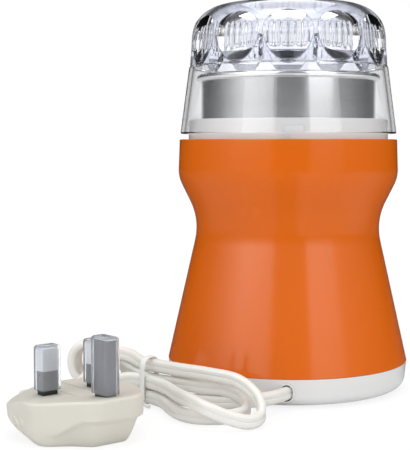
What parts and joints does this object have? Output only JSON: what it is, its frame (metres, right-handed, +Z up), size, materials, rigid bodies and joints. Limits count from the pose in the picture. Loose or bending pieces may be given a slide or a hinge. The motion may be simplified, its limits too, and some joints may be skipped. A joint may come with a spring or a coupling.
{
  "type": "electric coffee grinder",
  "caption": "Upright electric coffee grinder with hourglass body, steel cup, spinning blade, clear press-down lid, and a hanked flat lead ending in a mains plug.",
  "frame": {"origin": "on the table under the middle of the base, on the axis of the body and motor", "axes": "+Z up along the motor shaft, -Y towards the cord outlet and the lid tongue, +X to the right seen from the cord side"},
  "size_m": [0.1658, 0.1797, 0.1742],
  "materials": {
    "orange_shell": "high gloss moulded orange",
    "white_plastic": "glossy white moulding",
    "clear_lid": "clear polished plastic",
    "cup_steel": "brushed stainless sheet",
    "blade_steel": "satin ground steel",
    "shaft_steel": "ground steel",
    "zinc_fasteners": "bright zinc plate",
    "spring_steel": "drawn spring wire",
    "rubber_dark": "matt black rubber",
    "black_plastic": "black moulding",
    "bracket_steel": "zinc plated pressed steel",
    "bush_bronze": "sintered bronze",
    "laminations": "stacked steel laminations",
    "copper_winding": "enamelled copper wire",
    "commutator_copper": "turned copper bars",
    "carbon": "pressed carbon",
    "fan_plastic": "natural nylon",
    "button_red": "red nylon",
    "terminal_brass": "bright brass",
    "lead_wire": "insulated wire",
    "ivory_plastic": "satin ivory moulding",
    "ivory_cord": "satin ivory flexible sheath",
    "tie_white": "white coated tie",
    "fuse_ceramic": "glazed ceramic with metal caps",
    "clear_caps": "clear smoky plastic"
  },
  "bodies": {
    "housing": {"body_shell": "orange_shell", "base_cover": "white_plastic", "collar_frame": "white_plastic", "cord_gland": "white_plastic", "grinding_cup": "cup_steel", "guide_pin": "shaft_steel", "base_screws": "zinc_fasteners", "mount_screws": "zinc_fasteners", "motor_bolts": "zinc_fasteners", "motor_nuts": "zinc_fasteners", "switch_screws": "zinc_fasteners", "clamp_screws": "zinc_fasteners", "spring_clip": "zinc_fasteners", "brush_springs": "spring_steel", "plunger_spring": "spring_steel", "feet": "rubber_dark", "rubber_mounts": "rubber_dark", "cup_gasket": "rubber_dark", "shaft_seal": "rubber_dark", "hub_bush": "black_plastic", "hub_nut": "black_plastic", "microswitch": "black_plastic", "pin_sleeves": "black_plastic", "earth_pin": "black_plastic", "brush_holders": "black_plastic", "upper_bracket": "bracket_steel", "lower_bracket": "bracket_steel", "switch_bracket": "bracket_steel", "upper_bush": "bush_bronze", "lower_bush": "bush_bronze", "stator_core": "laminations", "field_coils": "copper_winding", "carbon_brushes": "carbon", "switch_terminals": "terminal_brass", "line_pins": "terminal_brass", "inner_leads": "lead_wire", "plug_body": "ivory_plastic", "plug_boot": "ivory_plastic", "cord_clamp": "ivory_plastic", "cord_lead": "ivory_cord", "cord_hank": "ivory_cord", "cord_tail": "ivory_cord", "cord_tie": "tie_white"},
    "rotor": {"motor_shaft": "shaft_steel", "armature_core": "laminations", "armature_windings": "copper_winding", "commutator": "commutator_copper", "cooling_fan": "fan_plastic", "blade": "blade_steel", "blade_nut": "blade_steel", "blade_washer": "blade_steel"},
    "plunger": {"switch_plunger": "fan_plastic"},
    "button": {"switch_button": "button_red"},
    "lid": {"lid": "clear_lid"},
    "live_cap": {"live_cap": "clear_caps"},
    "neutral_cap": {"neutral_cap": "clear_caps"},
    "earth_cap": {"earth_cap": "clear_caps"},
    "fuse_carrier": {"fuse_carrier": "ivory_plastic", "fuse": "fuse_ceramic"}
  },
  "joints": [
    {"name": "blade_spin", "type": "hinge", "parent": "housing", "child": "rotor", "pos_m": [0, 0, 0.1], "axis": [0, 0, 1], "continuous": true},
    {"name": "lid_press", "type": "slide", "parent": "housing", "child": "plunger", "axis": [0, 0, 1], "range_m": [-0.0022, 0], "stiffness_N_per_m": 900, "springref_m": 0.003, "deforming": ["plunger_spring"]},
    {"name": "lid_lift", "type": "slide", "parent": "plunger", "child": "lid", "axis": [0, 0, 1], "range_m": [0, 0.075]},
    {"name": "button_press", "type": "slide", "parent": "housing", "child": "button", "axis": [0, 0, 1], "range_m": [-0.0021, 0]},
    {"name": "live_cap_pull", "type": "slide", "parent": "housing", "child": "live_cap", "axis": [0, 0, 1], "range_m": [0, 0.03]},
    {"name": "neutral_cap_pull", "type": "slide", "parent": "housing", "child": "neutral_cap", "axis": [0, 0, 1], "range_m": [0, 0.03]},
    {"name": "earth_cap_pull", "type": "slide", "parent": "housing", "child": "earth_cap", "axis": [0, 0, 1], "range_m": [0, 0.035]},
    {"name": "fuse_carrier_pull", "type": "slide", "parent": "housing", "child": "fuse_carrier", "axis": [0, 0, 1], "range_m": [0, 0.016]}
  ],
  "couplings": [
    {"joint": "button_press", "follows": "lid_press", "ratio": 0.95}
  ]
}
